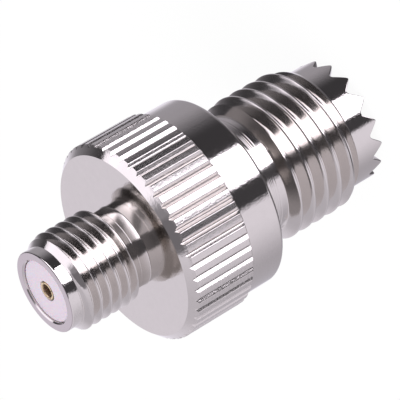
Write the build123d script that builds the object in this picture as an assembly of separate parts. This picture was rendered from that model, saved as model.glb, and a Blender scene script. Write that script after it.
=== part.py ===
from build123d import *
import os
from math import pi, radians, sin, tan

# Coax adapter: one turned body with a threaded jack at each end, in millimetres.
# The axis is +Z. The toothed crown of the large jack stands on z = 0 and the small
# jack points up. Each thread is a plain barrel of its major diameter.

# Large jack: nose with the crown, then a 3/8-24 barrel and its undercut
NOSE_D = 8.15
NOSE_LENGTH = 2.26
LARGE_THREAD_D = 9.525
LARGE_PITCH = 25.4 / 24
LARGE_LEAD_D = 8.74
LARGE_LEAD_LENGTH = 0.85
LARGE_BARREL_LENGTH = 7.75
UNDERCUT_LENGTH = 2.2
UNDERCUT_RELIEF = 0.03
MOUTH_D = 7.0
MOUTH_DEPTH = 2.0

# Crown of teeth at the mouth of the large jack
TOOTH_COUNT = 16
TOOTH_LAND = 0.09
NOTCH_ANGLE = 80
NOTCH_ROOT_R = 0.22
CROWN_TURN = 5.7

# Shoulder and knurled flange
SHOULDER_D = 12.63
SHOULDER_LENGTH = 2.65
SHOULDER_EDGE_R = 0.12
KNURL_D = 13.23
KNURL_LENGTH = 4.75
KNURL_FRONT_CHAMFER = 0.5
KNURL_REAR_CHAMFER = 0.1
KNURL_COUNT = 50
KNURL_DEPTH = 0.205
KNURL_ANGLE = 90

# Small jack: neck, 1/4-36 barrel and plain nose
SMALL_THREAD_D = 6.35
SMALL_PITCH = 25.4 / 36
SMALL_BARREL_LENGTH = 5.29
NECK_LENGTH = 1.05
NECK_RELIEF = 0.1
SMALL_NOSE_D = 5.4
SMALL_NOSE_LENGTH = 0.73
RIM_EDGE = 0.06
RIM_CHAMFER = 0.08

# Depth of a 60 degree thread as a share of its pitch, its flank and the drill's point
THREAD_DEPTH = 0.6134
THREAD_FLANK_ANGLE = 30
DRILL_POINT_ANGLE = 118

# Insulators
INSULATOR_D = 6.6
LARGE_INSULATOR_LENGTH = 7.0
DIELECTRIC_D = 4.18
DIELECTRIC_RECESS = 0.17
INSULATOR_WEB = 1.0
INSULATOR_CHAMFER = 0.12

# Centre contact, a slotted socket at each end of one rod
SMALL_CONTACT_D = 1.27
SMALL_SOCKET_D = 0.94
SMALL_SOCKET_DEPTH = 3.2
SMALL_SLOT_WIDTH = 0.15
SMALL_SLOT_DEPTH = 2.6
LARGE_CONTACT_D = 3.0
LARGE_SOCKET_D = 2.05
LARGE_SOCKET_DEPTH = 6.0
LARGE_SLOT_WIDTH = 0.34
LARGE_SLOT_DEPTH = 5.0
COLLAR_D = 4.2
COLLAR_LENGTH = 1.0
SMALL_LEAD_IN = 0.06
LARGE_LEAD_IN = 0.2
SLOT_TURN = -15

# Radial clearances: insulators in the body, contact in the insulators
INSULATOR_FIT = 0.01
CONTACT_FIT = 0.03

# How far a cutter runs past the surface it cuts
PAST = 0.5

# Heights along the axis, from the crown up
Z_LARGE_END = NOSE_LENGTH
Z_SHOULDER = Z_LARGE_END + LARGE_BARREL_LENGTH
Z_UNDERCUT = Z_SHOULDER - UNDERCUT_LENGTH
Z_KNURL = Z_SHOULDER + SHOULDER_LENGTH
Z_FACE = Z_KNURL + KNURL_LENGTH
Z_NECK_END = Z_FACE + NECK_LENGTH
Z_SMALL_END = Z_FACE + SMALL_BARREL_LENGTH
Z_TOP = Z_SMALL_END + SMALL_NOSE_LENGTH
Z_COLLAR = MOUTH_DEPTH + LARGE_INSULATOR_LENGTH
Z_COLLAR_TOP = Z_COLLAR + COLLAR_LENGTH
Z_STEP = Z_COLLAR_TOP + INSULATOR_WEB
Z_DIELECTRIC = Z_TOP - DIELECTRIC_RECESS

# Radii worked out from the sizes above
NOSE_R = NOSE_D / 2
LARGE_R = LARGE_THREAD_D / 2
UNDERCUT_R = LARGE_R - THREAD_DEPTH * LARGE_PITCH - UNDERCUT_RELIEF
KNURL_R = KNURL_D / 2
SMALL_R = SMALL_THREAD_D / 2
SMALL_NOSE_R = SMALL_NOSE_D / 2
NECK_R = SMALL_R - THREAD_DEPTH * SMALL_PITCH - NECK_RELIEF
MOUTH_R = MOUTH_D / 2
INSULATOR_R = INSULATOR_D / 2
DIELECTRIC_R = DIELECTRIC_D / 2
DIELECTRIC_BORE_R = DIELECTRIC_R + INSULATOR_FIT

# Crown notch: height of its sharp apex, and the tooth depth left by its rounded root
NOTCH_HALF = radians(NOTCH_ANGLE / 2)
NOTCH_APEX = (pi * NOSE_D / TOOTH_COUNT - TOOTH_LAND) / 2 / tan(NOTCH_HALF)
TOOTH_DEPTH = NOTCH_APEX - NOTCH_ROOT_R * (1 / sin(NOTCH_HALF) - 1)


def turned(*outline):
    """Solid of revolution about the axis, from (radius, height) corners."""
    with BuildPart() as part:
        with BuildSketch(Plane.XZ):
            with BuildLine():
                Polyline(*outline, close=True)
            make_face()
        revolve(axis=Axis.Z)
    return part.part


def around(count, turn, shape):
    """Copies of a shape spaced evenly about the axis."""
    return [Rot(0, 0, turn + 360 * i / count) * shape for i in range(count)]


def flank_length(depth):
    """Height that a thread flank takes up over a depth."""
    return depth * tan(radians(THREAD_FLANK_ANGLE))


def drill_point(diameter):
    """Length of the cone that a drill leaves at the end of a hole."""
    return diameter / 2 / tan(radians(DRILL_POINT_ANGLE / 2))


def large_jack():
    """Nose, lead cone, barrel and undercut, solid inside."""
    return turned(
        (0, 0),
        (NOSE_R, 0),
        (NOSE_R, Z_LARGE_END),
        (LARGE_LEAD_D / 2, Z_LARGE_END),
        (LARGE_R, Z_LARGE_END + LARGE_LEAD_LENGTH),
        (LARGE_R, Z_UNDERCUT - flank_length(LARGE_R - UNDERCUT_R)),
        (UNDERCUT_R, Z_UNDERCUT),
        (UNDERCUT_R, Z_SHOULDER),
        (0, Z_SHOULDER),
    )


def shoulder():
    """Plain polished shoulder with a softened rear edge."""
    disc = turned(
        (0, Z_SHOULDER),
        (SHOULDER_D / 2, Z_SHOULDER),
        (SHOULDER_D / 2, Z_KNURL),
        (0, Z_KNURL),
    )
    rear_edge = disc.edges().sort_by(Axis.Z)[0]
    return fillet(rear_edge, SHOULDER_EDGE_R)


def knurled_flange():
    """Flange with straight V grooves that run out into its front chamfer."""
    flange = turned(
        (0, Z_KNURL),
        (KNURL_R - KNURL_REAR_CHAMFER, Z_KNURL),
        (KNURL_R, Z_KNURL + KNURL_REAR_CHAMFER),
        (KNURL_R, Z_FACE - KNURL_FRONT_CHAMFER),
        (KNURL_R - KNURL_FRONT_CHAMFER, Z_FACE),
        (0, Z_FACE),
    )
    root = KNURL_R - KNURL_DEPTH
    half_width = (KNURL_DEPTH + PAST) * tan(radians(KNURL_ANGLE / 2))
    with BuildPart() as groove:
        with BuildSketch(Plane.XY.offset(Z_KNURL - PAST)):
            with BuildLine():
                Polyline((0, -root), (half_width, -KNURL_R - PAST),
                         (-half_width, -KNURL_R - PAST), close=True)
            make_face()
        extrude(amount=KNURL_LENGTH + 2 * PAST)
    return flange - around(KNURL_COUNT, 0, groove.part)


def small_jack():
    """Neck, barrel, lead cone and plain nose, solid inside."""
    lead_length = SMALL_R - SMALL_NOSE_R
    return turned(
        (0, Z_FACE),
        (NECK_R, Z_FACE),
        (NECK_R, Z_NECK_END),
        (SMALL_R, Z_NECK_END + flank_length(SMALL_R - NECK_R)),
        (SMALL_R, Z_SMALL_END - lead_length),
        (SMALL_NOSE_R, Z_SMALL_END),
        (SMALL_NOSE_R, Z_TOP - RIM_EDGE),
        (SMALL_NOSE_R - RIM_EDGE, Z_TOP),
        (0, Z_TOP),
    )


def stepped_bore():
    """Space inside the body: open mouth, insulator seat, then the small jack's bore."""
    seat_r = INSULATOR_R + INSULATOR_FIT
    return turned(
        (0, -PAST),
        (MOUTH_R, -PAST),
        (MOUTH_R, MOUTH_DEPTH),
        (seat_r, MOUTH_DEPTH),
        (seat_r, Z_STEP),
        (DIELECTRIC_BORE_R, Z_STEP),
        (DIELECTRIC_BORE_R, Z_TOP - RIM_CHAMFER),
        (DIELECTRIC_BORE_R + RIM_CHAMFER, Z_TOP),
        (DIELECTRIC_BORE_R + RIM_CHAMFER, Z_TOP + PAST),
        (0, Z_TOP + PAST),
    )


def crown_notch():
    """Radial V cutter with a rounded root, for the notch on the -Y side."""
    half_width = (NOTCH_APEX + PAST) * tan(NOTCH_HALF)
    with BuildPart() as notch:
        with BuildSketch(Plane.XZ.offset(MOUTH_R - PAST)):
            with BuildLine():
                Polyline((0, NOTCH_APEX), (half_width, -PAST), (-half_width, -PAST), close=True)
            outline = make_face()
            fillet(outline.vertices().sort_by(Axis.Z)[-1], NOTCH_ROOT_R)
        extrude(amount=NOSE_R - MOUTH_R + 2 * PAST)
    return notch.part


def adapter_body():
    """The one turned metal piece."""
    blank = large_jack() + shoulder() + knurled_flange() + small_jack()
    half_pitch = 180 / TOOTH_COUNT
    notches = around(TOOTH_COUNT, CROWN_TURN + half_pitch, crown_notch())
    return blank - stepped_bore() - notches


def small_end_insulator():
    """Dielectric of the small jack, with the flange that seats on the body's step."""
    hole_r = SMALL_CONTACT_D / 2 + CONTACT_FIT
    pocket_r = COLLAR_D / 2 + CONTACT_FIT
    return turned(
        (pocket_r, Z_COLLAR),
        (INSULATOR_R - INSULATOR_CHAMFER, Z_COLLAR),
        (INSULATOR_R, Z_COLLAR + INSULATOR_CHAMFER),
        (INSULATOR_R, Z_STEP),
        (DIELECTRIC_R, Z_STEP),
        (DIELECTRIC_R, Z_DIELECTRIC),
        (hole_r, Z_DIELECTRIC),
        (hole_r, Z_COLLAR_TOP),
        (pocket_r, Z_COLLAR_TOP),
    )


def large_end_insulator():
    """Sleeve pressed into the wide bore, around the large socket."""
    hole_r = LARGE_CONTACT_D / 2 + CONTACT_FIT
    return turned(
        (hole_r, MOUTH_DEPTH),
        (INSULATOR_R - INSULATOR_CHAMFER, MOUTH_DEPTH),
        (INSULATOR_R, MOUTH_DEPTH + INSULATOR_CHAMFER),
        (INSULATOR_R, Z_COLLAR),
        (hole_r, Z_COLLAR),
    )


def blade(length, width, bottom, top):
    """Saw blade through the axis, which cuts two opposite slots."""
    return Pos(0, 0, (bottom + top) / 2) * Box(length, width, top - bottom)


def centre_contact():
    """Double-ended socket contact with its collar."""
    small_r = SMALL_CONTACT_D / 2
    large_r = LARGE_CONTACT_D / 2
    small_hole_end = Z_DIELECTRIC - SMALL_SOCKET_DEPTH
    large_hole_end = MOUTH_DEPTH + LARGE_SOCKET_DEPTH
    rod = turned(
        (LARGE_SOCKET_D / 2 + LARGE_LEAD_IN, MOUTH_DEPTH),
        (large_r, MOUTH_DEPTH),
        (large_r, Z_COLLAR),
        (COLLAR_D / 2, Z_COLLAR),
        (COLLAR_D / 2, Z_COLLAR_TOP),
        (small_r, Z_COLLAR_TOP),
        (small_r, Z_DIELECTRIC),
        (SMALL_SOCKET_D / 2 + SMALL_LEAD_IN, Z_DIELECTRIC),
        (SMALL_SOCKET_D / 2, Z_DIELECTRIC - SMALL_LEAD_IN),
        (SMALL_SOCKET_D / 2, small_hole_end),
        (0, small_hole_end - drill_point(SMALL_SOCKET_D)),
        (0, large_hole_end + drill_point(LARGE_SOCKET_D)),
        (LARGE_SOCKET_D / 2, large_hole_end),
        (LARGE_SOCKET_D / 2, MOUTH_DEPTH + LARGE_LEAD_IN),
    )
    blades = [
        blade(LARGE_CONTACT_D + PAST, LARGE_SLOT_WIDTH,
              MOUTH_DEPTH - PAST, MOUTH_DEPTH + LARGE_SLOT_DEPTH),
        blade(SMALL_CONTACT_D + PAST, SMALL_SLOT_WIDTH,
              Z_DIELECTRIC - SMALL_SLOT_DEPTH, Z_DIELECTRIC + PAST),
    ]
    return rod - [Rot(0, 0, SLOT_TURN + turn) * saw for saw in blades for turn in (0, 90)]


PIECES = {
    "adapter_body": adapter_body,
    "small_end_insulator": small_end_insulator,
    "large_end_insulator": large_end_insulator,
    "centre_contact": centre_contact,
}

os.makedirs("parts", exist_ok=True)
for name, make in PIECES.items():
    export_step(make(), f"parts/{name}.step")

print(f"length {Z_TOP:.2f}, tooth depth {TOOTH_DEPTH:.2f}, neck {2 * NECK_R:.2f}, "
      f"undercut {2 * UNDERCUT_R:.2f}")
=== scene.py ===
# %% [markdown]
# A coaxial adapter in bright nickel
#
# The part is turned from brass bar and nickel plated. A small threaded jack is on top, a larger
# one with a crown of teeth is below, and a knurled flange is between them. The imported CAD model
# gives every size and place, and this script dresses it: real helical threads, fine edges, and
# the finishes of plate, plastic and gold. The imported model is loaded first, so that each new
# piece can take the place of a CAD node in it, which is then hidden.

# %% Load the imported model
from math import cos, degrees, hypot, pi, radians, sin, sqrt, tan, tau

import bmesh
import bpy
from mathutils import Matrix, Vector


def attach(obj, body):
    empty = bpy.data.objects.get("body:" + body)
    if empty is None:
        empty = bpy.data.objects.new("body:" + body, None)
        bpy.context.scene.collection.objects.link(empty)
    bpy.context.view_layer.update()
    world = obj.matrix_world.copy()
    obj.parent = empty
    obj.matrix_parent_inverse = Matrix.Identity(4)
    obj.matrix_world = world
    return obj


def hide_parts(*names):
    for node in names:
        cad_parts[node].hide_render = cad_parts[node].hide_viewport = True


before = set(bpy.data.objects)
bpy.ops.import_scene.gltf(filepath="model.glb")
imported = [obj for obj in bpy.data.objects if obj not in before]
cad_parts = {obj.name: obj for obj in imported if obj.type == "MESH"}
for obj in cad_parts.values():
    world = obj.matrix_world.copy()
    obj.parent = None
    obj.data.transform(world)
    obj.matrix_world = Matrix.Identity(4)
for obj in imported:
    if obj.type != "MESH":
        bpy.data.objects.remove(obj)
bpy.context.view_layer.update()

# %% [markdown]
# Camera
#
# The photograph looks at the adapter from above its small end, with the picture rolled so that
# the small jack points to the lower left. The camera could be placed by eye, but here its three
# directions are written as a rotation, because the roll is far from upright. A long lens from a
# short way off gives the slight perspective of the photograph.

# %% Camera at the photograph's view
scene = bpy.context.scene
scene.view_settings.view_transform = "Standard"

to_right = Vector((-0.50636, -0.39243, -0.76786))
to_top = Vector((0.86232, -0.23043, -0.45089))
to_viewer = to_right.cross(to_top)

view_data = bpy.data.cameras.new("photo_view")
view_data.sensor_width = 36
view_data.lens = 300.66
view_data.clip_start = 0.01
photo_view = bpy.data.objects.new("photo_view", view_data)
scene.collection.objects.link(photo_view)
viewpoint = Vector((0.0000594, -0.181777, 0.10425))
aim = Matrix((to_right, to_top, to_viewer)).transposed().to_4x4()
photo_view.matrix_world = Matrix.Translation(viewpoint) @ aim
scene.camera = photo_view
print("camera is", round(1000 * viewpoint.length, 1), "mm from the crown's centre")

# %% [markdown]
# Node sums
#
# Materials and the studio are made of nodes. Wiring each sum by hand takes several lines, so a
# small class lets a node's output be added and multiplied with Python's own signs, and one
# method adds every other kind of node.


# %% Helper for nodes
class Board:
    """A node tree that takes one call for each node."""

    def __init__(self, tree):
        self.tree = tree
        tree.nodes.clear()

    def add(self, kind, settings=None, sockets=None, out=0):
        """Adds a node with its settings, then its sockets' values or wires."""
        node = self.tree.nodes.new(kind)
        for name, value in (settings or {}).items():
            setattr(node, name, value)
        for key, value in (sockets or {}).items():
            if isinstance(value, Wire):
                self.tree.links.new(value.socket, node.inputs[key])
            else:
                node.inputs[key].default_value = value
        return Wire(self, node.outputs[out]) if node.outputs else node


class Wire:
    """One output of a node, which does sums with Python's signs."""

    def __init__(self, board, socket):
        self.board = board
        self.socket = socket

    def other(self, index):
        """Another output of the same node."""
        return Wire(self.board, self.socket.node.outputs[index])

    def sum(self, operation, *values):
        """Math node on values, wires among them."""
        return self.board.add("ShaderNodeMath", {"operation": operation}, dict(enumerate(values)))

    def __add__(self, value):
        return self.sum("ADD", self, value)

    __radd__ = __add__

    def __sub__(self, value):
        return self.sum("SUBTRACT", self, value)

    def __rsub__(self, value):
        return self.sum("SUBTRACT", value, self)

    def __mul__(self, value):
        return self.sum("MULTIPLY", self, value)

    __rmul__ = __mul__

    def rise(self, low, high):
        """Smooth step from 0 at low to 1 at high."""
        sockets = {"Value": self, "From Min": low, "From Max": high}
        return self.board.add("ShaderNodeMapRange", {"interpolation_type": "SMOOTHSTEP"}, sockets)


def blend_colours(board, share, first, second):
    """Colour that goes from first to second as share goes from 0 to 1."""
    sockets = {0: share, 6: first, 7: second}
    return board.add("ShaderNodeMix", {"data_type": "RGBA"}, sockets, out=2)


# %% [markdown]
# Studio
#
# Bright plate has hardly a colour of its own: what is seen is the studio mirrored in it. The
# photograph was taken in a white tent with a soft lamp on the right, a dark card on each side of
# it and a paler wall all round. Cards could be modelled, but a world that only mirrors see does
# the same, without shading the floor. Each ray's direction is turned into two angles in degrees:
# azimuth 0 is the camera's side, and elevation 0 is the horizon.

# %% Directions in the studio
world = bpy.data.worlds.new("studio_tent")
scene.world = world
world.use_nodes = True
studio = Board(world.node_tree)

seen = studio.add("ShaderNodeSeparateXYZ", None, {0: studio.add("ShaderNodeTexCoord")})
azimuth = seen.sum("ARCTAN2", seen, 0 - seen.other(1)) * degrees(1)
elevation = seen.sum("ARCSINE", seen.other(2)) * degrees(1)
card_height = elevation.sum("MAXIMUM", elevation, -32) + 27
print("studio reads azimuth and elevation from", len(world.node_tree.nodes), "nodes")

# %% [markdown]
# A card is a mask that starts at an azimuth, and it leans, so that its edge moves with the height.
# The height counts from 27 degrees under the horizon and stops falling 5 degrees below that. The
# lamp's near side fades along a slanting line, the sweep. All levels are brightnesses where 1 is
# white. They are laid over each other like sheets of paper, and rise() fades one into the next.


# %% Helpers for cards
def laid_over(level, mask, card):
    """Light level with a card of another level laid over part of it."""
    return level + mask * (card - level)


def edge_of_card(at, lean, softness):
    """Mask that starts at an azimuth, for a card whose edge leans with the height."""
    place = azimuth - lean * card_height
    return place.rise(at - softness, at + softness)


# %% Walls, cards and lamp
back_wall = 0.56 + 0.34 * elevation.rise(-28, -21) - 0.16 * elevation.rise(0, 25)
back_wall = back_wall - 0.08 * (1 - azimuth.rise(-138, -122)) * elevation.rise(12, 24)
left_wall = 1.05 - 0.1 * elevation.rise(-10, 35)
left_wall = left_wall - 0.15 * (1 - azimuth.rise(-125, -110)) * elevation.rise(34, 46)
left_card = 0.07 + 0.16 * elevation.rise(-5, 60)
right_card = 0.06
far_wall = 0.46 - 0.4 * elevation.rise(-15, 32)
floor_below = 0.15
sweep = azimuth + 1.05 * elevation
lamp_side = 0.85 - 0.5 * sweep.rise(50, 68)
softbox = 3.7 - 2.1 * elevation.rise(10, 45)
softbox = softbox * (1 - 0.85 * azimuth.rise(82, 98) * elevation.rise(53, 60))
softbox = softbox * (1 - 0.45 * azimuth.rise(104, 124) * elevation.rise(38, 48))
softbox = laid_over(softbox, (1 - sweep.rise(88, 112)) * elevation.rise(-5, 20), lamp_side)
right_edge = card_height.sum("MAXIMUM", card_height - 3, 0) * 1.55 + 33
right_edge = right_edge.sum("MINIMUM", right_edge, 129)
mirrored = laid_over(back_wall, edge_of_card(-82, 0, 32), left_wall)
mirrored = laid_over(mirrored, edge_of_card(-32.5, -0.27, 3), left_card)
mirrored = laid_over(mirrored, edge_of_card(-6.5, 0.12, 1.5), softbox)
mirrored = laid_over(mirrored, (azimuth - right_edge).rise(-1.5, 1.5), right_card)
mirrored = laid_over(mirrored, edge_of_card(88, 0.5, 24), far_wall)
mirrored = laid_over(mirrored, edge_of_card(150, 0.3, 12), 0.95)
mirrored = laid_over(mirrored, 1 - azimuth.rise(-176, -160), 0.95)
mirrored = laid_over(mirrored, 1 - elevation.rise(-65, -45), floor_below)
print("studio has", len(world.node_tree.nodes), "nodes so far")

# %% [markdown]
# A ray from a mirror sees that studio. A ray from the camera sees plain white, as in the
# photograph, and the soft light on matt surfaces is a plain level with no colour of its own.

# %% What each ray sees
SOFT_FILL = 0.6
MIRROR_TINT = (1.01, 0.967, 1.078, 1)
WHITE = (1, 1, 1, 1)

rays = studio.add("ShaderNodeLightPath")
mirror_ray = rays.other(rays.socket.node.outputs.find("Is Glossy Ray"))
camera_ray = rays.other(rays.socket.node.outputs.find("Is Camera Ray"))
light_level = laid_over(laid_over(SOFT_FILL, camera_ray, 1.0), mirror_ray, mirrored)
tint = blend_colours(studio, mirror_ray, WHITE, MIRROR_TINT)
background = studio.add("ShaderNodeBackground", None, {"Color": tint, "Strength": light_level})
studio.add("ShaderNodeOutputWorld", None, {"Surface": background})
print("studio has", len(world.node_tree.nodes), "nodes")

# %% [markdown]
# Lamp and floor
#
# One large soft lamp gives the plastic its shade and the floor a faint shadow. Mirrors don't see
# it, because the studio already holds its picture. The floor is a wide pale disc. For the camera
# it is mostly plain white light, so that it joins the white background without a horizon, and
# the rest is a matt surface that takes the shadow.

# %% Lamp
lamp_data = bpy.data.lights.new("soft_lamp", "AREA")
lamp_data.shape = "DISK"
lamp_data.size = 0.3
lamp_data.energy = 0.75
soft_lamp = bpy.data.objects.new("soft_lamp", lamp_data)
scene.collection.objects.link(soft_lamp)
soft_lamp.location = (-0.12, -0.16, 0.3)
soft_lamp.rotation_euler = soft_lamp.location.to_track_quat("Z", "Y").to_euler()
soft_lamp.visible_glossy = False
print("lamp of", lamp_data.energy, "W,", round(soft_lamp.location.length, 2), "m from the adapter")

# %% Floor
FLOOR_R = 1.5
GLOW = 1.02
GLOW_SHARE = 0.93

disc = bmesh.new()
bmesh.ops.create_circle(disc, cap_ends=True, segments=96, radius=FLOOR_R)
floor_mesh = bpy.data.meshes.new("floor")
disc.to_mesh(floor_mesh)
disc.free()
floor = bpy.data.objects.new("floor", floor_mesh)
scene.collection.objects.link(floor)
floor.visible_glossy = False

paper = bpy.data.materials.new("white_floor")
paper.use_nodes = True
board = Board(paper.node_tree)
matt = board.add("ShaderNodeBsdfDiffuse", None, {"Color": (0.86, 0.86, 0.86, 1)})
glow = board.add("ShaderNodeEmission", None, {"Color": WHITE, "Strength": GLOW})
to_camera = board.add("ShaderNodeLightPath") * GLOW_SHARE
surface = board.add("ShaderNodeMixShader", None, {0: to_camera, 1: matt, 2: glow})
board.add("ShaderNodeOutputMaterial", None, {"Surface": surface})
floor_mesh.materials.append(paper)
print("floor is a disc of", 2 * FLOOR_R, "m")

# %% [markdown]
# Sizes
#
# These are the CAD model's own sizes in millimetres. Only the shoulder's rear edge is rounded
# more than there, because the photograph shows it as a fine dark line. The crown's tips are at
# height 0 and the axis is Z. Shapes are built in millimetres and scaled to metres at the end.

# %% Sizes in millimetres
NOSE_R = 4.075
Z_LARGE_END = 2.26
LARGE_R = 4.7625
LARGE_PITCH = 25.4 / 24
LARGE_LEAD_R = 4.37
Z_LARGE_FULL = 3.11
Z_UNDERCUT = 7.81
UNDERCUT_R = 4.083
Z_SHOULDER = 10.01

SHOULDER_R = 6.315
SHOULDER_EDGE_R = 0.28
Z_KNURL = 12.66
KNURL_R = 6.615
KNURL_DEPTH = 0.205
KNURL_COUNT = 50
REAR_CHAMFER = 0.1
FRONT_CHAMFER = 0.5
Z_FACE = 17.41

NECK_R = 2.642
Z_NECK_END = 18.46
SMALL_R = 3.175
SMALL_PITCH = 25.4 / 36
SMALL_NOSE_R = 2.7
Z_SMALL_END = 22.7
Z_TOP = 23.43

RIM_EDGE = 0.06
RIM_CHAMFER = 0.08
BORE_R = 2.1
Z_STEP = 11.0
SEAT_R = 3.31
MOUTH_R = 3.5
MOUTH_DEPTH = 2.0

TOOTH_COUNT = 16
TOOTH_LAND = 0.09
NOTCH_HALF = radians(40)
NOTCH_ROOT_R = 0.22
CROWN_TURN = radians(270 + 5.7)
print("adapter is", Z_TOP, "mm long and", 2 * KNURL_R, "mm across the knurl")

# %% [markdown]
# Turning
#
# A lathe makes rings: each step of the outline is a circle at some radius and height. In a mesh
# the same is done by extruding the last rim of edges to the next circle, so the whole bore or
# nose comes from one rim, with no seams. Where two rims have different numbers of points, they
# are joined on a flat face, where the uneven triangles can't be seen.


# %% Helpers for turned shapes
def rim_at(bm, height):
    """Open edges of a mesh at a height."""
    level = {v for v in bm.verts if abs(v.co.z - height) < 0.001}
    return [e for e in bm.edges if e.is_boundary and level.issuperset(e.verts)]


def turn_on(bm, rim, *outline):
    """Extrudes a rim through (radius, height) circles."""
    for radius, height in outline:
        made = bmesh.ops.extrude_edge_only(bm, edges=rim)["geom"]
        for vert in (g for g in made if isinstance(g, bmesh.types.BMVert)):
            vert.co.xy = vert.co.xy.normalized() * radius
            vert.co.z = height
        rim = [g for g in made if isinstance(g, bmesh.types.BMEdge)]


def wire(bm, *corners):
    """Line of edges through (x, y, z) corners."""
    verts = [bm.verts.new(corner) for corner in corners]
    for pair in zip(verts, verts[1:]):
        bm.edges.new(pair)
    return verts


def soften(bm, verts, width, segments=3):
    """Rounds corners of a line, as a tool's nose or a light deburring does."""
    bmesh.ops.bevel(bm, geom=verts, offset=width, offset_type="OFFSET", segments=segments,
                    profile=0.5, affect="VERTICES", material=-1)


def heal(bm):
    """Merges doubled points and turns all faces outwards."""
    bmesh.ops.remove_doubles(bm, verts=bm.verts[:], dist=0.0002)
    bmesh.ops.recalc_face_normals(bm, faces=bm.faces[:])


# %% [markdown]
# Every piece is handed over in the same way. Flat faces and edges sharper than the crease angle
# keep their edge and the rest is shaded smooth, the mesh is scaled to metres, the piece is put
# under the root body, and the CAD node that it stands for is hidden. An edge without two faces
# would be a leak, so such edges are counted.


# %% Helper that hands a piece over
MM = 0.001
CREASE = radians(28)


def finish_piece(bm, name, cad_node):
    """Makes the mesh an object in metres that stands for a CAD node."""
    for face in bm.faces:
        face.smooth = abs(face.normal.z) < 0.9999
    for edge in bm.edges:
        edge.smooth = not edge.is_manifold or edge.calc_face_angle() < CREASE
    bmesh.ops.scale(bm, vec=(MM, MM, MM), verts=bm.verts[:])
    mesh = bpy.data.meshes.new(name)
    bm.to_mesh(mesh)
    triangles = sum(len(f.vertices) - 2 for f in mesh.polygons)
    open_edges = sum(not e.is_manifold for e in bm.edges)
    bm.free()
    piece = bpy.data.objects.new(name, mesh)
    scene.collection.objects.link(piece)
    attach(piece, "root")
    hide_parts(cad_node)
    print(f"{name}: {triangles} triangles, {open_edges} open edges")
    return piece


# %% [markdown]
# Threads
#
# Both jacks have a right-hand screw thread, small 36 to the inch and large 24. A drawn texture
# would be flat from the side. Here one tooth of the thread, rounded at its crest and root, is
# spun up the axis as a helix, and its turns are joined. The blank's outline then cuts it back,
# as on the lathe, where the nose, lead cone and undercut are turned before the thread.


# %% Helpers for the blank
def blank_radius(outline, z):
    """Radius of the turned blank at a height, from its (height, radius) corners."""
    for (z0, r0), (z1, r1) in zip(outline, outline[1:]):
        if z <= z1:
            return r0 + (r1 - r0) * (z - z0) / (z1 - z0)
    return outline[-1][1]


def cut_to_blank(bm, outline):
    """Brings every point of the helix inside the blank, with exact points where they cross."""
    over = {v: v.co.xy.length - blank_radius(outline, v.co.z) for v in bm.verts}
    moved = {v: v.co.copy() for v in bm.verts if over[v] > 0}
    for vert in moved:
        moved[vert].xy = vert.co.xy.normalized() * blank_radius(outline, vert.co.z)
    for edge in bm.edges:
        inside, outside = sorted(edge.verts, key=over.get)
        same_angle = abs(inside.co.xy.cross(outside.co.xy)) < 1e-4
        if same_angle and over[inside] < -1e-5 and over[outside] > 1e-5:
            share = over[inside] / (over[inside] - over[outside])
            moved[outside] = inside.co.lerp(outside.co, share)
    for vert, place in moved.items():
        vert.co = place


# %% [markdown]
# A thread's shape goes with its pitch, so one function makes both. The flat crest, the depth and
# the root's rounding are shares of the pitch, and the crest's rounding is a share of its flat.

# %% Helper for threads
CREST_FLAT = 1 / 18
DEPTH = 0.69
ROOT_ROUNDING = 0.025
CREST_ROUNDING = 0.35
FLANK_SLOPE = tan(radians(30))


def thread(bm, pitch, major_r, crest_z, low, high, outline, steps=160):
    """Helical thread between two heights. crest_z is a crest's height on the camera's side."""
    flat = CREST_FLAT * pitch
    depth = DEPTH * pitch
    slope = depth * FLANK_SLOPE
    root_r = major_r - depth
    start = crest_z + pitch / 4
    start -= pitch * (int((start - low) / pitch) + 2)
    heights = (0, flat, flat + slope, pitch - flat - slope, pitch - flat, pitch)
    radii = (major_r, major_r, root_r, root_r, major_r, major_r)
    corners = [(r, 0, start + z) for r, z in zip(radii, heights)]
    verts = wire(bm, *corners)
    soften(bm, [verts[1], verts[4]], CREST_ROUNDING * flat)
    soften(bm, [verts[2], verts[3]], ROOT_ROUNDING * pitch)
    bmesh.ops.subdivide_edges(bm, edges=[e for e in bm.edges if e.calc_length() > slope], cuts=4)
    bmesh.ops.spin(bm, geom=bm.verts[:] + bm.edges[:], cent=(0, 0, 0), axis=(0, 0, 1),
                   dvec=(0, 0, pitch / steps), angle=tau, steps=steps)
    turns = int((high - start) / pitch) + 2
    one_turn = bm.verts[:] + bm.edges[:] + bm.faces[:]
    for turn in range(1, turns):
        copied = bmesh.ops.duplicate(bm, geom=one_turn)["geom"]
        bmesh.ops.translate(bm, vec=(0, 0, pitch * turn),
                            verts=[g for g in copied if isinstance(g, bmesh.types.BMVert)])
    bmesh.ops.remove_doubles(bm, verts=bm.verts[:], dist=0.0005)
    for corner_z, _ in outline:
        bmesh.ops.bisect_plane(bm, geom=bm.verts[:] + bm.edges[:] + bm.faces[:], dist=1e-5,
                               plane_co=(0, 0, corner_z), plane_no=(0, 0, 1))
    cut_to_blank(bm, outline)
    for height, side in ((low, -1), (high, 1)):
        bmesh.ops.bisect_plane(bm, geom=bm.verts[:] + bm.edges[:] + bm.faces[:], dist=1e-5,
                               plane_co=(0, 0, height), plane_no=(0, 0, side), clear_outer=True)
    print("thread of", turns, "turns,", len(bm.faces), "faces")


# %% [markdown]
# Nickel body
#
# The body is one turned piece, so it is one mesh, built from the small jack down. First comes
# the small thread, then its nose, rim and the bore are turned from the thread's upper rim, and
# the neck from its lower rim.

# %% Body: small jack and bore
SMALL_CREST_Z = 21.63

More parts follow.
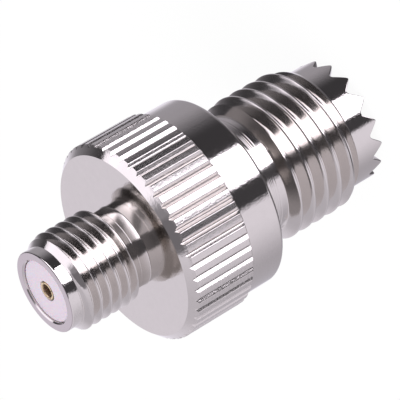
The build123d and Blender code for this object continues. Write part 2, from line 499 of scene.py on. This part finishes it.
body = bmesh.new()
small_blank = ((Z_FACE, NECK_R), (Z_NECK_END, NECK_R),
               (Z_NECK_END + (SMALL_R - NECK_R) * FLANK_SLOPE, SMALL_R),
               (Z_SMALL_END - SMALL_R + SMALL_NOSE_R, SMALL_R), (Z_SMALL_END, SMALL_NOSE_R))
thread(body, SMALL_PITCH, SMALL_R, SMALL_CREST_Z, Z_NECK_END, Z_SMALL_END, small_blank)
turn_on(
    body, rim_at(body, Z_SMALL_END),
    (SMALL_NOSE_R, Z_TOP - RIM_CHAMFER), (SMALL_NOSE_R, Z_TOP - RIM_EDGE),
    (SMALL_NOSE_R - 0.3 * RIM_EDGE, Z_TOP - 0.3 * RIM_EDGE), (SMALL_NOSE_R - RIM_EDGE, Z_TOP),
    (BORE_R + RIM_CHAMFER, Z_TOP), (BORE_R, Z_TOP - RIM_CHAMFER),
    (BORE_R, Z_STEP), (SEAT_R, Z_STEP), (SEAT_R, MOUTH_DEPTH),
)
print("small jack and bore:", len(body.faces), "faces")

# %% [markdown]
# The lathe's tool leaves a few fine lines round the neck and the undercut, a few thousandths of a
# millimetre deep. They could be bump, but as rings in the mesh they catch the light as sharply as
# the real ones.


# %% Body: neck with its tool line
NECK_LINE_Z = 18.12


def tool_lines(radius, depth, *heights, rising=True):
    """Outline of fine lines left by a tool. The wall stays straight up to each line's edge."""
    way = 4 * depth if rising else -4 * depth
    rows = []
    for z in heights:
        rows += [(radius, z - 1.5 * way), (radius, z - way), (radius - depth, z),
                 (radius, z + way), (radius, z + 1.5 * way)]
    return rows


turn_on(
    body, rim_at(body, Z_NECK_END), (NECK_R, Z_NECK_END - 0.03),
    *tool_lines(NECK_R, 0.004, NECK_LINE_Z, rising=False),
    (NECK_R, Z_FACE + 0.05), (NECK_R + 0.015, Z_FACE + 0.015), (NECK_R + 0.05, Z_FACE),
)
print("with the neck:", len(body.faces), "faces")

# %% [markdown]
# The large jack is made the same way. Its thread starts at a small flat face behind the nose,
# and runs out into an undercut with a few fine tool rings. The undercut's rim goes on as the
# rear face of the shoulder, a soft edge and the polished band.

# %% Body: large jack and shoulder
LARGE_CREST_Z = 6.326
UNDERCUT_LINES_Z = (8.3, 8.48, 8.6, 8.7, 8.9)

large_jack = bmesh.new()
large_blank = ((Z_LARGE_END, LARGE_LEAD_R), (Z_LARGE_FULL, LARGE_R),
               (Z_UNDERCUT - (LARGE_R - UNDERCUT_R) * FLANK_SLOPE, LARGE_R),
               (Z_UNDERCUT, UNDERCUT_R), (Z_SHOULDER, UNDERCUT_R))
thread(large_jack, LARGE_PITCH, LARGE_R, LARGE_CREST_Z, Z_LARGE_END, Z_UNDERCUT, large_blank,
       steps=180)

undercut = [
    (UNDERCUT_R, Z_UNDERCUT + 0.03),
    *tool_lines(UNDERCUT_R, 0.007, *UNDERCUT_LINES_Z),
    (UNDERCUT_R, Z_SHOULDER - 0.03), (UNDERCUT_R + 0.03, Z_SHOULDER),
]
rounded_edge = [
    (SHOULDER_R - SHOULDER_EDGE_R * (1 - sin(turn)), Z_SHOULDER + SHOULDER_EDGE_R * (1 - cos(turn)))
    for turn in (radians(a) for a in (0, 18, 36, 54, 72, 90))
]
turn_on(
    large_jack, rim_at(large_jack, Z_UNDERCUT), *undercut, *rounded_edge,
    (SHOULDER_R, Z_SHOULDER + 0.3), (SHOULDER_R, Z_KNURL - 0.05), (SHOULDER_R, Z_KNURL),
)
heal(large_jack)
print("large jack:", len(large_jack.faces), "faces")

# %% [markdown]
# Knurl
#
# Fifty straight grooves give the flange its grip. They are V shapes with narrow lands between
# them, and both ends are chamfered, which leaves the front edge scalloped. Bump would leave the
# outline round, so the grooves are real: one groove's section is drawn, pulled up along the axis,
# brought to the two chamfers, and copied round the flange.

# %% Body: knurled flange
LAND_ROUNDING = 0.02
GROOVE_ROUNDING = 0.03

knurl = bmesh.new()
half_step = pi / KNURL_COUNT
root_r = KNURL_R - KNURL_DEPTH
edge_x = (sqrt(2 * KNURL_R**2 - root_r**2) - root_r) / 2
land_x, land_y = KNURL_R * sin(half_step), KNURL_R * cos(half_step)
section = ((land_x, land_y), (edge_x, root_r + edge_x), (0, root_r),
           (-edge_x, root_r + edge_x), (-land_x, land_y))
verts = wire(knurl, *((x, -y, Z_KNURL) for x, y in section))
soften(knurl, [verts[1], verts[3]], LAND_ROUNDING, segments=2)
soften(knurl, [verts[2]], GROOVE_ROUNDING, segments=2)
bmesh.ops.subdivide_edges(knurl, edges=[e for e in knurl.edges if e.calc_length() > 0.1], cuts=3)
for vert in knurl.verts:
    if vert.co.xy.length > KNURL_R:
        vert.co.xy = vert.co.xy.normalized() * KNURL_R


def pull_up(edges, place):
    """Extrudes the groove's section and puts each new point by a rule."""
    made = bmesh.ops.extrude_edge_only(knurl, edges=edges)["geom"]
    for vert in (g for g in made if isinstance(g, bmesh.types.BMVert)):
        radius, vert.co.z = place(vert.co.xy.length)
        vert.co.xy = vert.co.xy.normalized() * radius
    return [g for g in made if isinstance(g, bmesh.types.BMEdge)]


# each rule takes a point's radius in the section, so the rear row gets its chamfer last, and the
# two rows between the chamfers give the long walls straight ends
rows = [
    lambda r: (r, Z_KNURL + max(0, REAR_CHAMFER - (KNURL_R - r))),
    lambda r: (r, Z_KNURL + 0.4),
    lambda r: (r, Z_FACE - FRONT_CHAMFER - 0.15),
    lambda r: (r, Z_FACE - FRONT_CHAMFER + (KNURL_R - r)),
    lambda r: (KNURL_R - FRONT_CHAMFER, Z_FACE),
]
rim = knurl.edges[:]
rear = knurl.verts[:]
for row in rows:
    rim = pull_up(rim, row)
for vert in rear:
    vert.co.xy = vert.co.xy.normalized() * min(vert.co.xy.length, KNURL_R - REAR_CHAMFER)
bmesh.ops.spin(knurl, geom=knurl.verts[:] + knurl.edges[:] + knurl.faces[:], cent=(0, 0, 0),
               axis=(0, 0, 1), angle=tau * (1 - 1 / KNURL_COUNT), steps=KNURL_COUNT - 1,
               use_duplicate=True)
bmesh.ops.remove_doubles(knurl, verts=knurl.verts[:], dist=0.0005)
print("knurl:", len(knurl.faces), "faces")

# %% [markdown]
# Crown
#
# Sixteen teeth are milled into the mouth of the large jack. Each notch is a V with a rounded
# root, cut straight across the wall, so it is as wide inside as outside. Boolean cutters would
# leave long thin triangles that show in a mirror. Instead one tooth's share of the wall is spun
# as a band, its lower points are lifted to the notch's edge, and the band is copied round.

# %% Helpers for the crown
NOTCH_APEX = (tau * NOSE_R / TOOTH_COUNT - TOOTH_LAND) / 2 / tan(NOTCH_HALF)
ROOT_CENTRE = NOTCH_APEX - NOTCH_ROOT_R / sin(NOTCH_HALF)
TIP_ROUNDING = 0.1
EDGE_ROUNDING = 0.09
STRAIGHT = 0.02
STEPS_PER_TOOTH = 32


def notch_height(x):
    """Height of the notch's edge at a distance from the notch's middle."""
    if abs(x) < NOTCH_ROOT_R * cos(NOTCH_HALF):
        return ROOT_CENTRE + sqrt(NOTCH_ROOT_R**2 - x**2)
    flank = NOTCH_APEX - abs(x) / tan(NOTCH_HALF)
    return (flank + hypot(flank, TIP_ROUNDING)) / 2


def tooth_band(bm, radius, top, lift=0):
    """One tooth's share of a wall, from the notch's edge up. Returns its lower edges."""
    foot = bm.verts.new((radius, 0, 0))
    head = bm.verts.new((radius, 0, top))
    side = bm.edges.new((foot, head))
    bmesh.ops.spin(bm, geom=[foot, head, side], cent=(0, 0, 0), axis=(0, 0, 1),
                   angle=tau / TOOTH_COUNT, steps=STEPS_PER_TOOTH)
    verts = {v for v in bm.verts if abs(v.co.xy.length - radius) < 1e-4 and v.co.z < 0.001}
    for vert in verts:
        angle = -Vector((1, 0)).angle_signed(vert.co.xy) - pi / TOOTH_COUNT
        vert.co.z = notch_height(radius * sin(angle)) + lift
    return [e for e in bm.edges if all(v in verts for v in e.verts)]


print("notches are", round(notch_height(0), 2), "mm deep")

# %% [markdown]
# The teeth's outer edges are a little rounded, as deburring leaves them. The outer band stops
# short of the notch, and its lower edge is pulled down and inwards along a quarter circle. It is
# then bridged to the inner band, which makes the flanks of the teeth.

# %% Body: crown of teeth
crown = bmesh.new()
outer_edge = tooth_band(crown, NOSE_R, Z_LARGE_END, lift=EDGE_ROUNDING + STRAIGHT)
for turn in (0, 30, 60, 90):
    broken = bmesh.ops.extrude_edge_only(crown, edges=outer_edge)["geom"]
    for vert in (g for g in broken if isinstance(g, bmesh.types.BMVert)):
        vert.co.xy = vert.co.xy.normalized() * (NOSE_R - EDGE_ROUNDING * (1 - cos(radians(turn))))
        drop = EDGE_ROUNDING * (sin(radians(turn)) - sin(radians(turn - 30)))
        vert.co.z -= drop if turn else STRAIGHT
    outer_edge = [g for g in broken if isinstance(g, bmesh.types.BMEdge)]
inner_edge = tooth_band(crown, MOUTH_R, MOUTH_DEPTH)
bmesh.ops.bridge_loops(crown, edges=outer_edge + inner_edge)
bmesh.ops.rotate(crown, cent=(0, 0, 0), matrix=Matrix.Rotation(CROWN_TURN, 3, "Z"),
                 verts=crown.verts[:])
bmesh.ops.spin(crown, geom=crown.verts[:] + crown.edges[:] + crown.faces[:], cent=(0, 0, 0),
               axis=(0, 0, 1), angle=tau * (1 - 1 / TOOTH_COUNT), steps=TOOTH_COUNT - 1,
               use_duplicate=True)
bmesh.ops.remove_doubles(crown, verts=crown.verts[:], dist=0.0005)
print("crown:", len(crown.faces), "faces, tips at", round(min(v.co.z for v in crown.verts), 3))

# %% [markdown]
# The four parts are put in one mesh and joined on flat faces: the flange's front and rear, the
# small face behind the nose, and the ledge inside the mouth. Left apart they would look the same,
# but one closed mesh has no hidden faces and is one piece, as the real body is.

# %% Body: join into one piece
for part in (large_jack, knurl, crown):
    shell = bpy.data.meshes.new("shell")
    part.to_mesh(shell)
    part.free()
    body.from_mesh(shell)
    bpy.data.meshes.remove(shell)
for height in (Z_FACE, Z_KNURL, Z_LARGE_END, MOUTH_DEPTH):
    rims = rim_at(body, height)
    ring = bmesh.ops.triangle_fill(body, edges=rims, use_beauty=True)["geom"]
    print("joined", len(rims), "edges at", height, "with", len(ring), "faces and edges")
heal(body)
nickel_body = finish_piece(body, "nickel_body", "adapter_body")

# %% [markdown]
# Insulators
#
# Two white fluoroplastic pieces hold the contact on the axis. Only the small one's end shows in
# the photograph, nearly flush with the rim. The CAD model's own solids could be shown, but they
# have sharp corners, which the soft plastic never keeps. So each is a closed outline with rounded
# corners, spun round the axis.

# %% Insulators
INSULATOR_R = 3.3
CHAMFER = 0.12
DIELECTRIC_R = 2.09
Z_DIELECTRIC = 23.26
Z_COLLAR = 9.0
Z_COLLAR_TOP = 10.0
COLLAR_R = 2.1
CONTACT_R = 0.635
LARGE_CONTACT_R = 1.5
CONTACT_FIT = 0.03
CORNER_ROUNDING = 0.05


def spun_solid(outline, rounded, width, steps=128, closed=True):
    """Solid of revolution from (radius, height) corners, some of them rounded."""
    bm = bmesh.new()
    verts = wire(bm, *((r, 0, z) for r, z in outline))
    if closed:
        bm.edges.new((verts[-1], verts[0]))
    soften(bm, [verts[i] for i in rounded], width)
    bmesh.ops.spin(bm, geom=bm.verts[:] + bm.edges[:], cent=(0, 0, 0), axis=(0, 0, 1),
                   angle=tau, steps=steps, use_merge=True)
    heal(bm)
    return bm


collar_room = COLLAR_R + CONTACT_FIT
small_hole = CONTACT_R + CONTACT_FIT
small_plug = spun_solid(
    ((collar_room, Z_COLLAR), (INSULATOR_R - CHAMFER, Z_COLLAR),
     (INSULATOR_R, Z_COLLAR + CHAMFER), (INSULATOR_R, Z_STEP), (DIELECTRIC_R, Z_STEP),
     (DIELECTRIC_R, Z_DIELECTRIC), (small_hole, Z_DIELECTRIC), (small_hole, Z_COLLAR_TOP),
     (collar_room, Z_COLLAR_TOP)),
    (5, 6), CORNER_ROUNDING)
small_dielectric = finish_piece(small_plug, "small_dielectric", "small_end_insulator")
large_hole = LARGE_CONTACT_R + CONTACT_FIT
large_sleeve = spun_solid(
    ((large_hole, MOUTH_DEPTH), (INSULATOR_R - CHAMFER, MOUTH_DEPTH),
     (INSULATOR_R, MOUTH_DEPTH + CHAMFER), (INSULATOR_R, Z_COLLAR), (large_hole, Z_COLLAR)),
    (0, 1), CORNER_ROUNDING)
large_dielectric = finish_piece(large_sleeve, "large_dielectric", "large_end_insulator")

# %% [markdown]
# Contact
#
# The contact is one gold-plated rod with a drilled socket at each end. It is spun from its
# outline, as the insulators are, and the drills' points are left as cones. The fingers of the
# small socket are closed in towards the mouth, so that they grip a pin.

# %% Contact: turned rod
SOCKET_R = 0.47
LEAD_IN = 0.06
CLOSED_IN = 0.05
Z_SAWN = Z_DIELECTRIC - 2.6
Z_HOLE_END = Z_DIELECTRIC - 3.2
LARGE_SOCKET_R = 1.025
LARGE_LEAD_IN = 0.2
Z_LARGE_SAWN = MOUTH_DEPTH + 5.0
Z_LARGE_HOLE_END = MOUTH_DEPTH + 6.0
POINT_SLOPE = tan(radians(59))

mouth_r = SOCKET_R - CLOSED_IN
rod = spun_solid(
    ((0, Z_HOLE_END - SOCKET_R / POINT_SLOPE), (SOCKET_R, Z_HOLE_END), (SOCKET_R, Z_SAWN),
     (mouth_r, Z_DIELECTRIC - LEAD_IN), (mouth_r + LEAD_IN, Z_DIELECTRIC),
     (CONTACT_R - CLOSED_IN, Z_DIELECTRIC), (CONTACT_R, Z_SAWN), (CONTACT_R, Z_COLLAR_TOP),
     (COLLAR_R, Z_COLLAR_TOP), (COLLAR_R, Z_COLLAR), (LARGE_CONTACT_R, Z_COLLAR),
     (LARGE_CONTACT_R, MOUTH_DEPTH), (LARGE_SOCKET_R + LARGE_LEAD_IN, MOUTH_DEPTH),
     (LARGE_SOCKET_R, MOUTH_DEPTH + LARGE_LEAD_IN), (LARGE_SOCKET_R, Z_LARGE_HOLE_END),
     (0, Z_LARGE_HOLE_END + LARGE_SOCKET_R / POINT_SLOPE)),
    (3, 4, 5, 11, 12, 13), 0.025, steps=96, closed=False)
print("rod:", len(rod.faces), "faces")

# %% [markdown]
# Saw cuts divide each socket into four springs. They could be modelled into the rings of the rod,
# but the cuts are made after turning on the real part too, so thin blades are taken out of the
# finished rod with Boolean modifiers.


# %% Contact: saw cuts
SAW = 0.045
LARGE_SAW = 0.34
BLADE_LENGTH = 5
PAST = 0.5
SAW_TURNS = (radians(-15), radians(75))


def sawn(bm, *cuts):
    """The mesh after saw blades through the axis, each (width, low, high, turn), are taken out."""
    mesh = bpy.data.meshes.new("rod")
    bm.to_mesh(mesh)
    bm.free()
    blank = bpy.data.objects.new("rod", mesh)
    scene.collection.objects.link(blank)
    blades = []
    for width, low, high, turn in cuts:
        blade = bmesh.new()
        bmesh.ops.create_cube(blade, size=1)
        bmesh.ops.scale(blade, vec=(BLADE_LENGTH, width, high - low), verts=blade.verts[:])
        bmesh.ops.translate(blade, vec=(0, 0, (high + low) / 2), verts=blade.verts[:])
        bmesh.ops.rotate(blade, cent=(0, 0, 0), matrix=Matrix.Rotation(turn, 3, "Z"),
                         verts=blade.verts[:])
        blade_mesh = bpy.data.meshes.new("blade")
        blade.to_mesh(blade_mesh)
        blade.free()
        blades.append(bpy.data.objects.new("blade", blade_mesh))
        cut = blank.modifiers.new("saw", "BOOLEAN")
        cut.operation = "DIFFERENCE"
        cut.solver = "EXACT"
        cut.object = blades[-1]
    cut_blank = blank.evaluated_get(bpy.context.evaluated_depsgraph_get())
    done = bpy.data.meshes.new_from_object(cut_blank)
    result = bmesh.new()
    result.from_mesh(done)
    for used in (blank, *blades):
        used_mesh = used.data
        bpy.data.objects.remove(used)
        bpy.data.meshes.remove(used_mesh)
    bpy.data.meshes.remove(done)
    return result


small_cuts = [(SAW, Z_SAWN, Z_DIELECTRIC + PAST, turn) for turn in SAW_TURNS]
large_cuts = [(LARGE_SAW, MOUTH_DEPTH - PAST, Z_LARGE_SAWN, turn) for turn in SAW_TURNS]
rod = sawn(rod, *small_cuts, *large_cuts)
heal(rod)
gold_contact = finish_piece(rod, "gold_contact", "centre_contact")

# %% [markdown]
# Nickel plate
#
# Bright nickel mirrors the studio with a faint warm tint. The lathe leaves fine rings round the
# axis, so the grain is a noise of radius and height alone, the same at every angle. Rings finer
# than a pixel tip the mirror up and down only, which streaks a reflection along the turning as
# brushed metal does. The helpers are shared by the three finishes, and read Object coordinates,
# so that a pattern stays where it is when the piece moves.


# %% Helpers for finishes
def in_millimetres(board):
    """Place on the object in millimetres, as a vector and as distance from the axis and height."""
    place = board.add("ShaderNodeVectorMath", {"operation": "MULTIPLY"},
                      {0: board.add("ShaderNodeTexCoord", out=3), 1: (1000, 1000, 1000)})
    parts = board.add("ShaderNodeSeparateXYZ", None, {0: place})
    x, y, z = parts, parts.other(1), parts.other(2)
    from_axis = parts.sum("SQRT", x * x + y * y)
    return place, from_axis, z


def grain(board, place, scale, detail=2.0, kind="3D"):
    """Noise from 0 to 1."""
    sockets = {"Vector": place, "Scale": scale, "Detail": detail}
    return board.add("ShaderNodeTexNoise", {"noise_dimensions": kind}, sockets)


def new_finish(name):
    """Empty node material and its board."""
    material = bpy.data.materials.new(name)
    material.use_nodes = True
    return material, Board(material.node_tree)


def coat(board, base, roughness, height, metallic=1.0, extra=None):
    """Surface shader with a bump of some height in millimetres."""
    bump = board.add("ShaderNodeBump", None, {"Strength": 1.0, "Distance": 0.001, "Height": height})
    sockets = {"Base Color": base, "Roughness": roughness, "Metallic": metallic, "Normal": bump}
    surface = board.add("ShaderNodeBsdfPrincipled", None, {**sockets, **(extra or {})})
    board.add("ShaderNodeOutputMaterial", None, {"Surface": surface})


def between(value, low, high, soft):
    """Mask that is 1 between two values of a wire."""
    return value.rise(low - soft, low + soft) * (1 - value.rise(high - soft, high + soft))


# %% [markdown]
# The threads, the undercut and the neck were left as the tool cut them, while the shoulder and
# both noses were polished. The knurl took the plate unevenly, so it is rougher, and its grooves
# are painted darker, as painted shade in the recesses. The end face of the small rim is dulled.
# Shallow pits break up the edges of the mirrored cards, and a slow waviness keeps them from
# being ruler-straight.

# %% Nickel
nickel, board = new_finish("bright_nickel")
place, from_axis, z = in_millimetres(board)
ring_place = board.add("ShaderNodeCombineXYZ", None, {0: from_axis, 1: z})
tool_rings = grain(board, ring_place, 20.0, 3.0, kind="2D")
waviness = grain(board, place, 0.7)
cloud = grain(board, place, 2.2, 4.0)
pitting = grain(board, place, 7.0, 4.0)

large_as_cut = between(z, Z_LARGE_END, Z_SHOULDER, 0.05)
small_as_cut = between(z, Z_FACE + 0.01, Z_SMALL_END - 0.5, 0.02)
as_cut = large_as_cut + small_as_cut
knurled = between(z, Z_KNURL, Z_FACE - FRONT_CHAMFER + 0.1, 0.08)
behind_chamfer = 1 - z.rise(Z_FACE - FRONT_CHAMFER - 0.05, Z_FACE - FRONT_CHAMFER + 0.05)
dulled = z.rise(Z_TOP - 0.03, Z_TOP - 0.01)
base = blend_colours(board, cloud, (0.64, 0.61, 0.58, 1), (0.606, 0.578, 0.55, 1))
base = blend_colours(board, dulled * 0.8, base, (0.52, 0.465, 0.48, 1))
# painted shade: the knurl's grooves are coloured darker, standing in for the shade in the recesses
painted_groove_shade = knurled * behind_chamfer * (1 - from_axis.rise(KNURL_R - 0.16, KNURL_R - 0.04))
base = blend_colours(board, painted_groove_shade * 0.35, base, (0.33, 0.31, 0.3, 1))
roughness = 0.045 + 0.04 * cloud + 0.03 * tool_rings + 0.05 * as_cut + 0.15 * knurled
ring_height = (0.00018 + 0.00022 * as_cut) * tool_rings
pits = (0.0035 + 0.006 * knurled - 0.0015 * as_cut) * pitting
coat(board, base, roughness, ring_height + 0.003 * waviness + pits)
nickel_body.data.materials.append(nickel)
print("nickel has", len(nickel.node_tree.nodes), "nodes")

# %% [markdown]
# Fluoroplastic
#
# The dielectric is a waxy white plastic, faced on the lathe, so it has very faint rings and a
# soft sheen. Light goes a little way into it, which a shader's subsurface part gives.

# %% Plastic
white_plastic, board = new_finish("white_fluoroplastic")
place, from_axis, z = in_millimetres(board)
ring_place = board.add("ShaderNodeCombineXYZ", None, {0: from_axis, 1: z})
facing_rings = grain(board, ring_place, 9.0, 3.0, kind="2D")
cloud = grain(board, place, 1.5, 3.0)
base = blend_colours(board, cloud, (0.75, 0.655, 0.75, 1), (0.725, 0.63, 0.725, 1))
coat(board, base, 0.38 + 0.12 * facing_rings, 0.0015 * facing_rings, metallic=0.0,
     extra={"Subsurface Weight": 0.15, "Subsurface Scale": 0.0004})
for piece in (small_dielectric, large_dielectric):
    piece.data.materials.append(white_plastic)
print("plastic has", len(white_plastic.node_tree.nodes), "nodes")

# %% [markdown]
# Gold
#
# The contact's gold is thin plate over turned brass, with finer rings. The wall of the small
# socket is rougher, and it is coloured dark brown as painted shade for the deep, narrow hole.

# %% Gold
gold, board = new_finish("contact_gold")
place, from_axis, z = in_millimetres(board)
ring_place = board.add("ShaderNodeCombineXYZ", None, {0: from_axis, 1: z})
tool_rings = grain(board, ring_place, 25.0, 2.0, kind="2D")
cloud = grain(board, place, 3.0, 3.0)
base = blend_colours(board, cloud, (0.84, 0.69, 0.43, 1), (0.76, 0.61, 0.36, 1))
# painted shade: the small socket's wall is coloured dark brown, standing in for the shade inside
# the narrow hole; the same mask also makes it rougher
hole_shade_and_roughness = (1 - from_axis.rise(0.44, 0.47)) * z.rise(Z_COLLAR_TOP, Z_COLLAR_TOP + 1)
base = blend_colours(board, hole_shade_and_roughness, base, (0.56, 0.43, 0.3, 1))
coat(board, base, 0.14 + 0.08 * tool_rings + 0.3 * hole_shade_and_roughness, 0.0003 * tool_rings)
gold_contact.data.materials.append(gold)
print("gold has", len(gold.node_tree.nodes), "nodes")
